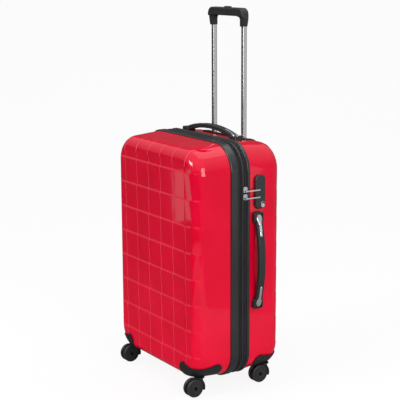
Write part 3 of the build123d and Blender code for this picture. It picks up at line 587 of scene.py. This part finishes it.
def coil_tree():
    """Geometry Nodes: turns of a coil set at an even pitch along the rounded outline of the case."""
    tree = bpy.data.node_groups.new("zip_coil_round_case", "GeometryNodeTree")
    for name, default in (
        ("Width", outline_width),
        ("Height", outline_height),
        ("Corner", outline_corner),
        ("Pitch", 0.002),
    ):
        tree.interface.new_socket(name=name, in_out="INPUT", socket_type="NodeSocketFloat").default_value = default
    tree.interface.new_socket(name="Turn", in_out="INPUT", socket_type="NodeSocketObject")
    tree.interface.new_socket(name="Finish", in_out="INPUT", socket_type="NodeSocketMaterial")
    tree.interface.new_socket(name="Geometry", in_out="OUTPUT", socket_type="NodeSocketGeometry")
    given = add(tree, "NodeGroupInput").outputs
    frame_line = add(
        tree,
        "GeometryNodeCurvePrimitiveQuadrilateral",
        {"mode": "RECTANGLE"},
        {"Width": given["Width"], "Height": given["Height"]},
    )
    rounded = add(
        tree,
        "GeometryNodeFilletCurve",
        {"mode": "POLY", "Count": 24},
        {"Curve": frame_line.outputs["Curve"], "Radius": given["Corner"]},
    )
    level = add(tree, "GeometryNodeSetCurveNormal", {"mode": "Z_UP"}, {"Curve": rounded.outputs["Curve"]})
    spots = add(
        tree,
        "GeometryNodeCurveToPoints",
        {"mode": "LENGTH"},
        {"Curve": level.outputs["Curve"], "Length": given["Pitch"]},
    )
    turn_shape = add(tree, "GeometryNodeObjectInfo", {}, {"Object": given["Turn"]})
    set_down = add(
        tree,
        "GeometryNodeInstanceOnPoints",
        {},
        {
            "Points": spots.outputs["Points"],
            "Instance": turn_shape.outputs["Geometry"],
            "Rotation": spots.outputs["Rotation"],
        },
    )
    real = add(tree, "GeometryNodeRealizeInstances", {}, {"Geometry": set_down.outputs["Instances"]})
    finished = add(
        tree,
        "GeometryNodeSetMaterial",
        {},
        {"Geometry": real.outputs["Geometry"], "Material": given["Finish"]},
    )
    add(tree, "NodeGroupOutput", {}, {"Geometry": finished.outputs["Geometry"]})
    return tree


coil_nodes = coil_tree()


def run_tree(name, tree, values):
    """Plain mesh object made by a Geometry Nodes tree with these values in its named inputs."""
    holder = bpy.data.objects.new(name, bpy.data.meshes.new(name + "_seed"))
    bpy.context.scene.collection.objects.link(holder)
    modifier = holder.modifiers.new("build", "NODES")
    modifier.node_group = tree
    for socket in tree.interface.items_tree:
        if socket.in_out == "INPUT" and socket.name in values:
            modifier[socket.identifier] = values[socket.name]
    seen = holder.evaluated_get(bpy.context.evaluated_depsgraph_get())
    mesh = bpy.data.meshes.new_from_object(seen)
    holder.modifiers.clear()
    holder.data = mesh
    return holder


def zip_coil(name, body, start, end):
    """Half of a coil round the case between two depths, in metres."""
    turn_shape = coil_turn(end - start)
    piece = run_tree(name, coil_nodes, {"Turn": turn_shape, "Finish": nylon_coil, "Pitch": 0.0022})
    stand = Matrix.Translation((0, (start + end) / 2, outline_middle)) @ Matrix.Rotation(math.pi / 2, 4, "X")
    piece.data.transform(stand)
    bpy.data.objects.remove(turn_shape)
    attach(piece, body)
    return piece


def outline_points(width, height, corner, straight_x=24, straight_z=36, turn_steps=12):
    """Points of the case's rounded outline for a given size, always the same number of them."""
    half_x, half_z = width / 2 - corner, height / 2 - corner
    points = []
    for index, (sign_x, sign_z) in enumerate(((1, 1), (-1, 1), (-1, -1), (1, -1))):
        for i in range(turn_steps):
            angle = math.pi / 2 * (index + i / turn_steps)
            points.append(
                (sign_x * half_x + corner * math.cos(angle), sign_z * half_z + corner * math.sin(angle))
            )
        start = (
            sign_x * half_x + corner * math.cos(math.pi / 2 * (index + 1)),
            sign_z * half_z + corner * math.sin(math.pi / 2 * (index + 1)),
        )
        count, step_x, step_z = (
            (straight_x, -2 * half_x * sign_x, 0) if index % 2 == 0 else (straight_z, 0, -2 * half_z * sign_z)
        )
        points += [(start[0] + step_x * i / count, start[1] + step_z * i / count) for i in range(count)]
    return points


def closed_ring(name, profile, finish):
    """Ring round the case: a closed profile of (depth, height) points swept along its outline."""
    rows = []
    for depth, proud in profile:
        line = outline_points(outline_width + 2 * proud, outline_height + 2 * proud, outline_corner + proud)
        rows.append([(x, depth, outline_middle + z) for x, z in line])
    count = len(rows[0])
    vertices = [point for row in rows for point in row]
    faces = []
    for i in range(len(rows)):
        for k in range(count):
            a, b = i * count + k, i * count + (k + 1) % count
            c, d = (b + count) % len(vertices), (a + count) % len(vertices)
            faces.append((a, b, c, d))
    piece = mesh_piece(name, vertices, faces, finish, smooth=False)
    face_outward(piece)
    return piece


zip_tape_cloth = woven_cloth("zip_tape_polyester", "161618", "262629", 1.2, 0.8, 0.4)
tape_wall, seam_gap = 0.0012, 0.0003
zip_seam, expansion_seam = 0.012, -0.001
for name, body, start, end, coils in (
    ("expansion_tape", "front_case", -0.014, expansion_seam - seam_gap / 2, [(-0.0018, 0.0)]),
    ("zip_frame_tape", "zip_frame", expansion_seam + seam_gap / 2, zip_seam - seam_gap / 2, [(0.0, 0.0018), (-0.003, 0.0)]),
    ("main_zip_back", "back_case", zip_seam + seam_gap / 2, 0.021, [(0.0, 0.003)]),
):
    tape = closed_ring(
        f"{name}_woven",
        [(start, -tape_wall), (end, -tape_wall), (end, 0.0), (start, 0.0)],
        zip_tape_cloth,
    )
    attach(tape, body)
    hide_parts(name)
    for low, high in coils:
        edge = start if low == 0.0 else end
        zip_coil(f"{name}_coil_{'inner' if edge == start else 'outer'}", body, edge + low, edge + high)

# --- Welt and gusset ------------------------------------------------------------------------
# A piping of black vinyl hides the seam between the two zips. Behind it a nylon gusset is folded
# into the front half; it fills the gap when the expansion zip is opened.

expanding_welt = moulded_black("vinyl_piping", "202022", 0.36, 0.5, 0.2, 0.2)
finish_node("zip_frame_welt", expanding_welt)

gusset_cloth = woven_cloth("gusset_nylon", "1B1B1D", "303034", 1.6, 0.75, 0.5)


def folded_gusset():
    """Soft sleeve with shallow folds along its depth, hemmed at its hidden edge."""
    outer, inner, start, end, folds = -0.0065, -0.0073, -0.058, 0.0085, 22
    depths = [start + (end - start) * i / folds for i in range(folds + 1)]
    slack = [0.0004 * math.sin(2.6 * i) for i in range(folds + 1)]
    upper = [(y, outer - 0.0002 + w * 0.4) for y, w in zip(depths, slack)]
    lower = [(y, inner + w * 0.4) for y, w in zip(depths, slack)]
    web = [(end, -tape_wall), (0.0035, -tape_wall), (0.0035, outer)]
    return closed_ring(
        "expansion_gusset_folded",
        lower + web + [point for point in upper if point[0] < 0.003][::-1],
        gusset_cloth,
    )


gusset = folded_gusset()
gusset.data.shade_smooth()
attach(gusset, "zip_frame")
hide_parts("expansion_gusset")

# --- Linings --------------------------------------------------------------------------------
# Each half is lined with grey taffeta, glued at the rim and hanging a little loose, with a piped
# seam round its floor. The front half's floor has a zipped pocket.

lining_cloth = woven_cloth("lining_taffeta", "3A3B40", "55565C", 1.5, 0.7, 0.4)
lining_inset, pan_reach, pan_top = 0.0022, 0.047, 0.0627
pan_x, pan_y = 0.171, 0.105


lock_low, lock_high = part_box("lock_body")
lock_low.x = min(lock_low.x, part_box("lock_cam")[0].x)
lock_middle, lock_half = (lock_low + lock_high) / 2, (lock_high - lock_low) / 2


def cloth_slack(x, y, z):
    """How far loose cloth stands in from the shell at a place: long soft waves, never negative."""
    wave = math.sin(31 * x + 17 * z) * math.sin(23 * z - 29 * y) + 0.6 * math.sin(57 * z + 41 * y) * math.cos(47 * x)
    return 0.0009 * (1.6 + wave) / 3.2


def lining_tray(name, side, rim, trim_edge, floor_depth):
    """Cloth tray inside one half: rings from the rim down the walls and round on to the floor."""
    stations = [(rim, 0.0), (rim + 0.004, 0.0)]
    radius = edge_rounding - lining_inset
    wall_end = floor_depth - radius
    stations += [(rim + 0.004 + (wall_end - rim - 0.004) * i / 6, 0.0) for i in range(1, 7)]
    for i in range(1, 9):
        angle = math.pi / 2 * i / 8
        stations.append((wall_end + radius * math.sin(angle), radius * (1 - math.cos(angle))))
    stations += [(floor_depth, radius + step) for step in (0.03, 0.07, 0.11)]
    vertices, faces = [], []
    for index, (depth, turn_in) in enumerate(stations):
        run = max(0.0, depth - trim_edge)
        inset_x = lining_inset + run * side_slope + turn_in
        inset_z = lining_inset + run * top_draft + turn_in
        line = outline_points(
            outline_width - 2 * inset_x,
            outline_height - 2 * inset_z,
            max(0.004, outline_corner - inset_x),
        )
        for x, z in line:
            slack = cloth_slack(x, depth, z) if index > 1 else 0.0
            shrink = 1 - slack / 0.2
            place_x, place_y, place_z = x * shrink, depth - slack * (turn_in > 0), outline_middle + z * shrink
            near = math.hypot(abs(place_x) - pan_x, place_y - pan_y)
            if near < pan_reach and place_z < pan_top:
                place_z = pan_top
            if side > 0 and place_x > 0:
                aside = max(
                    abs(place_y - lock_middle.y) - lock_half.y,
                    abs(place_z - lock_middle.z) - lock_half.z,
                )
                hold = min(1.0, max(0.0, 1 - aside / 0.012))
                pressed = lock_low.x - 0.0012
                place_x = min(place_x, place_x + (pressed - place_x) * hold * hold * (3 - 2 * hold))
            vertices.append((place_x, side * place_y, place_z))
    count = len(outline_points(1, 1, 0.1))
    for i in range(len(stations) - 1):
        for k in range(count):
            a, b = i * count + k, i * count + (k + 1) % count
            faces.append((a, b, b + count, a + count))
    faces.append(tuple((len(stations) - 1) * count + k for k in range(count)))
    piece = mesh_piece(name, vertices, faces)
    face_outward(piece)
    wall = piece.modifiers.new("cloth_thickness", "SOLIDIFY")
    wall.thickness = 0.0007
    wall.offset = -1.0
    apply_modifiers(piece)
    piece.data.shade_smooth()
    return piece


def rounded_seam(name, width, height, corner, depth, thickness, finish):
    """Piping: a thin round cord sewn flat on a lining's floor along a rounded rectangle."""
    line = outline_points(width, height, corner)
    sides = 6
    vertices, faces = [], []
    for i, (x, z) in enumerate(line):
        ahead, behind = line[(i + 1) % len(line)], line[i - 1]
        along = Vector((ahead[0] - behind[0], 0, ahead[1] - behind[1])).normalized()
        out = along.cross(Vector((0, 1, 0)))
        for k in range(sides):
            angle = 2 * math.pi * k / sides
            vertices.append(
                Vector((x, depth, outline_middle + z))
                + out * thickness * math.cos(angle)
                + Vector((0, thickness * math.sin(angle), 0))
            )
    for i in range(len(line)):
        for k in range(sides):
            a, b = i * sides + k, i * sides + (k + 1) % sides
            c, d = (b + sides) % len(vertices), (a + sides) % len(vertices)
            faces.append((a, b, c, d))
    piece = mesh_piece(name, vertices, faces, finish)
    face_outward(piece)
    return piece


for half, side, rim, trim_edge, floor_depth in (
    ("front", -1, 0.014, 0.0316, 0.1325),
    ("back", 1, 0.021, 0.0288, 0.0887),
):
    tray = lining_tray(f"{half}_lining_cloth", side, rim, trim_edge, floor_depth)
    dress(tray, f"{half}_case", f"{half}_lining", lining_cloth)
    seam = rounded_seam(
        f"{half}_lining_piping",
        0.335,
        0.535,
        0.05,
        side * (floor_depth - 0.0022),
        0.0013,
        gusset_cloth,
    )
    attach(seam, f"{half}_case")
pocket_seam = rounded_seam("front_pocket_zip", 0.26, 0.19, 0.02, -(0.1325 - 0.0026), 0.0017, nylon_coil)
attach(pocket_seam, "front_case")

# --- Packing straps -------------------------------------------------------------------------
# Two ribbed polypropylene webbings cross over the back half. They are bartacked to the lining's
# edge and meet in a moulded buckle.

webbing = woven_cloth("strap_webbing", "1A1A1C", "35353A", 2.4, 0.7, 0.8)
black_nylon = moulded_black("nylon_black", "1C1C1E", 0.4, 0.6, 0.2)


def packing_strap(name, slope, low, high):
    """Flat webbing on a slope through the case's middle, between two distances, sagging a little."""
    width, wall = 0.025, 0.0013
    along = Vector((math.cos(slope), 0, math.sin(slope)))
    across = Vector((-math.sin(slope), 0, math.cos(slope)))
    middle = Vector((0, 0.04075, outline_middle))
    rows, columns = 40, 8
    vertices, faces = [], []
    for i in range(rows + 1):
        t = low + (high - low) * i / rows
        for k in range(columns + 1):
            edge = 2 * k / columns - 1
            rise = 0.0002 * math.cos(math.pi * k) + 0.0002 * math.sin(9.0 * i / rows)
            vertices.append(middle + along * t + across * width / 2 * edge + Vector((0, rise, 0)))
    for i in range(rows):
        for k in range(columns):
            a = i * (columns + 1) + k
            faces.append((a, a + 1, a + columns + 2, a + columns + 1))
    piece = mesh_piece(name, vertices, faces)
    body = piece.modifiers.new("webbing_thickness", "SOLIDIFY")
    body.thickness, body.offset = wall, 0.0
    return apply_modifiers(piece)


strap_slope = math.atan2(0.63, 0.42) - math.radians(8.0)
strap_low, strap_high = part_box("packing_straps")
reach = min(
    (strap_high.z - strap_low.z) / 2 / math.sin(strap_slope),
    (strap_high.x - strap_low.x) / 2 / math.cos(strap_slope),
) - 0.012
for index, (slope, start, end) in enumerate(
    (
        (strap_slope, 0.02, reach),
        (strap_slope, -reach, -0.02),
        (-strap_slope, 0.02, reach),
        (-strap_slope, -reach, -0.02),
    )
):
    strap = packing_strap(f"packing_strap_{index + 1}", slope, start, end)
    dress(strap, "back_case", "packing_straps", webbing)
finish_node("strap_buckle", black_nylon)

# --- Hinge strip and studs --------------------------------------------------------------------
# A flat moulded strip covers the fabric hinge on the left side. Four round studs, as proud as the
# trims, carry the case when it lies on that side.

for node in ("hinge_strip", "back_studs", "front_studs"):
    finish_node(node, black_nylon)

# --- Corner guards and casters ------------------------------------------------------------------
# Moulded nylon guards wrap the bottom corners and seat the casters. Each caster has a riveted
# steel pin, a glass-filled nylon fork and two hard polyurethane wheels.

caster_nylon = moulded_black("caster_nylon_black", "19191A", 0.38, 0.6, 0.2)
wheel_polyurethane = moulded_black("wheel_polyurethane", "242426", 0.42, 0.5, 0.2)


def metal(name, colour, roughness, grain, spread=0.06):
    """Metal with fine drawn lines along its length, which stretch each highlight a little."""
    made, tree = new_material(name)
    place = add(tree, "ShaderNodeTexCoord").outputs["Object"]
    stretch = add(tree, "ShaderNodeMapping", {"Scale": (1.0, 1.0, 0.02)}, {"Vector": place})
    lines = add(
        tree,
        "ShaderNodeTexNoise",
        {"Scale": 1800.0, "Detail": 2.0},
        {"Vector": stretch.outputs["Vector"]},
    )
    rough = add(
        tree,
        "ShaderNodeMapRange",
        {"To Min": max(0.02, roughness - spread), "To Max": roughness + spread},
        {"Value": lines.outputs["Fac"]},
    )
    relief = add(
        tree,
        "ShaderNodeBump",
        {"Strength": grain, "Distance": 0.0001},
        {"Height": lines.outputs["Fac"]},
    )
    skin = add(
        tree,
        "ShaderNodeBsdfPrincipled",
        {"Metallic": 1.0, "Base Color": srgb(colour)},
        {"Roughness": rough.outputs[0], "Normal": relief.outputs[0]},
    )
    show_shader(tree, skin.outputs[0])
    return made


steel = metal("zinc_plated_steel", "A9AAAC", 0.3, 0.1)
blackened_steel = metal("black_oxide_steel", "2A2A2C", 0.4, 0.1)
for node in ("front_kingpins", "back_kingpins"):
    finish_node(node, steel)
for corner in ("front_left", "front_right", "back_left", "back_right"):
    finish_node(f"guard_{corner}", black_nylon)
    finish_node(f"fork_{corner}", caster_nylon)
    finish_node(f"axle_{corner}", blackened_steel)
    for wheel in "ab":
        finish_node(f"wheel_{corner}_{wheel}", wheel_polyurethane)

# --- Telescopic handle --------------------------------------------------------------------------
# Polished aluminium poles slide in steel tubes behind the back lining. The grip has a soft-touch
# skin; its push button works two rods that pull the snap pins in.

pole_metal = metal("polished_aluminium", "C9CACC", 0.16, 0.0, 0.005)
soft_grip = moulded_black("soft_touch_grip", "202022", 0.5, 0.7, 0.3)
for node, finish in (
    ("handle_tray", black_nylon),
    ("outer_tubes", steel),
    ("inner_tubes", pole_metal),
    ("tube_bracket", black_nylon),
    ("trolley_grip", soft_grip),
    ("release_button", black_nylon),
    ("release_rods", steel),
    ("snap_pin_left", steel),
    ("snap_pin_right", steel),
):
    finish_node(node, finish)

# --- Carry handles --------------------------------------------------------------------------------
# Each sprung handle is an arched black grip with chrome-plated caps let into its ends and a few
# moulded ribs beside them. Its lugs sit in two feet screwed to the shell.

chrome = metal("chrome_plate", "ECEDF0", 0.22, 0.0)


def grip_ribs(name, along_axis, lift_axis, middle):
    """Small ribs across both shoulders of an arched grip, on the arc that the grip's back follows."""
    half_chord, shoulder, crown = 0.127, 0.009, 0.030
    rise = crown - shoulder
    radius = (half_chord**2 + rise**2) / (2 * rise)
    centre_height = crown - radius
    along, lift = Vector(along_axis), Vector(lift_axis)
    depth_axis = Vector((0, 1, 0))
    vertices, faces = [], []
    for side in (-1, 1):
        for index in range(9):
            angle = side * math.asin((0.058 + index * 0.0031) / radius)
            out = lift * math.cos(angle) + along * math.sin(angle)
            tangent = along * math.cos(angle) - lift * math.sin(angle)
            centre = Vector(middle) + lift * centre_height + out * radius
            first = len(vertices)
            for station in range(9):
                turn = math.radians(-62 + 124 * station / 8)
                across = depth_axis * 0.0082 * math.sin(turn) + out * (0.0004 + 0.0012 * (math.cos(turn) - 1) / 0.53)
                for step, height in ((-0.0008, -0.0006), (0.0, 0.0005), (0.0008, -0.0006)):
                    vertices.append(centre + across + tangent * step + out * height)
            for station in range(8):
                for k in range(3):
                    a, b = first + station * 3 + k, first + station * 3 + (k + 1) % 3
                    faces.append((a, b, b + 3, a + 3))
            faces.append((first, first + 1, first + 2))
            faces.append((first + 26, first + 25, first + 24))
    piece = mesh_piece(name, vertices, faces, soft_grip)
    face_outward(piece)
    return piece


def chrome_head(name, grip, end, along, lift):
    """Plated cap that lies on a grip's end: a round head that runs out into a narrow stripe."""
    deps = bpy.context.evaluated_depsgraph_get()
    surface = BVHTree.FromObject(nodes[grip], deps)
    along, lift, depth = Vector(along), Vector(lift), Vector((0, 1, 0))
    head, stripe, length, skin = 0.0088, 0.0036, 0.046, 0.0005
    rows, columns = 48, 12
    upper = []
    for i in range(rows + 1):
        run = -head + (head + length) * i / rows
        half = math.sqrt(max(0.0, head**2 - run**2)) if run < 0.007 else stripe
        if 0.007 <= run < 0.016:
            blend = (run - 0.007) / 0.009
            half = 0.0053 + (stripe - 0.0053) * blend * blend * (3 - 2 * blend)
        if run > length - stripe:
            half = math.sqrt(max(0.0, stripe**2 - (run - length + stripe) ** 2))
        half = max(half, 0.0002)
        for k in range(columns + 1):
            edge = 2 * k / columns - 1
            start = end + along * run + depth * half * edge
            hit = surface.ray_cast(start + lift * 0.06, -lift)
            dome = skin + 0.0007 * max(0.0, 1 - edge * edge) ** 0.5
            upper.append(hit[0] + lift * dome)
    lower = [point - lift * 0.0016 for point in upper]
    across, count = columns + 1, len(upper)
    faces = []
    for i in range(rows):
        for k in range(columns):
            a = i * across + k
            faces.append((a, a + 1, a + across + 1, a + across))
            faces.append((count + a + across, count + a + across + 1, count + a + 1, count + a))
        for k in (0, columns):
            a = i * across + k
            faces.append((a, a + across, count + a + across, count + a))
    for i in (0, rows):
        for k in range(columns):
            a = i * across + k
            faces.append((a, a + 1, count + a + 1, count + a))
    piece = mesh_piece(name, upper + lower, faces, chrome)
    face_outward(piece)
    piece.data.shade_smooth()
    return piece


carry_y, back_trim_end, side_handle_z = 0.052, 0.0288, 0.356
top_surface = case_top - (carry_y - back_trim_end) * top_draft
side_surface = half_width_x - (carry_y - back_trim_end) * side_slope
for place_name, along, lift, middle in (
    ("top", (1, 0, 0), (0, 0, 1), (-0.004, carry_y, top_surface)),
    ("side", (0, 0, 1), (1, 0, 0), (side_surface, carry_y, side_handle_z)),
):
    finish_node(f"{place_name}_handle_grip", soft_grip)
    finish_node(f"{place_name}_handle_inserts", chrome)
    finish_node(f"{place_name}_handle_feet", black_nylon)
    ribs = grip_ribs(f"{place_name}_handle_ribs", along, lift, middle)
    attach(ribs, f"{place_name}_handle")
    grip_low, grip_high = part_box(f"{place_name}_handle_grip")
    for side_name, direction in (("near", 1), ("far", -1)):
        run_axis = Vector(along)
        middle_point = (grip_low + grip_high) / 2
        half_length = (grip_high - grip_low).dot(run_axis) / 2
        end = middle_point - run_axis * direction * (half_length - 0.0135)
        head = chrome_head(
            f"{place_name}_handle_cap_{side_name}",
            f"{place_name}_handle_grip",
            end,
            run_axis * direction,
            lift,
        )
        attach(head, f"{place_name}_handle")

# --- Lock and zip sliders -----------------------------------------------------------------------
# The lock is a moulded housing with two slots for the zip pulls and a chrome key cylinder with a
# small chrome arc over it, which shows which way the key turns. The sliders are plated zinc.

finish_node("lock_body", satin_abs)
finish_node("key_cylinder", chrome)
finish_node("lock_cam", steel)
plated_zinc = metal("nickel_plated_zinc", "E4E4E6", 0.28, 0.0)
for level in ("upper", "lower"):
    finish_node(f"zip_slider_{level}", plated_zinc)
    finish_node(f"pull_tab_{level}", plated_zinc)


def turn_arc():
    """Raised chrome arc over the key cylinder."""
    key_low, key_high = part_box("key_cylinder")
    centre = Vector((key_high.x - 0.0003, (key_low.y + key_high.y) / 2, (key_low.z + key_high.z) / 2))
    arc, steps, sides, thick = 0.0095, 14, 6, 0.0006
    vertices, faces = [], []
    for i in range(steps + 1):
        angle = math.radians(35 + 110 * i / steps)
        out = Vector((0, math.cos(angle), math.sin(angle)))
        swell = thick * (0.35 + 0.65 * math.sin(math.pi * i / steps))
        for k in range(sides):
            around = 2 * math.pi * k / sides
            vertices.append(
                centre
                + out * (arc + swell * 1.4 * math.cos(around))
                + Vector((swell * math.sin(around), 0, 0))
            )
    for i in range(steps):
        for k in range(sides):
            a, b = i * sides + k, i * sides + (k + 1) % sides
            faces.append((a, b, b + sides, a + sides))
    faces.append(tuple(range(sides)))
    faces.append(tuple(steps * sides + k for k in range(sides))[::-1])
    piece = mesh_piece("key_turn_arc", vertices, faces, chrome)
    face_outward(piece)
    return piece


arc_piece = turn_arc()
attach(arc_piece, "back_case")
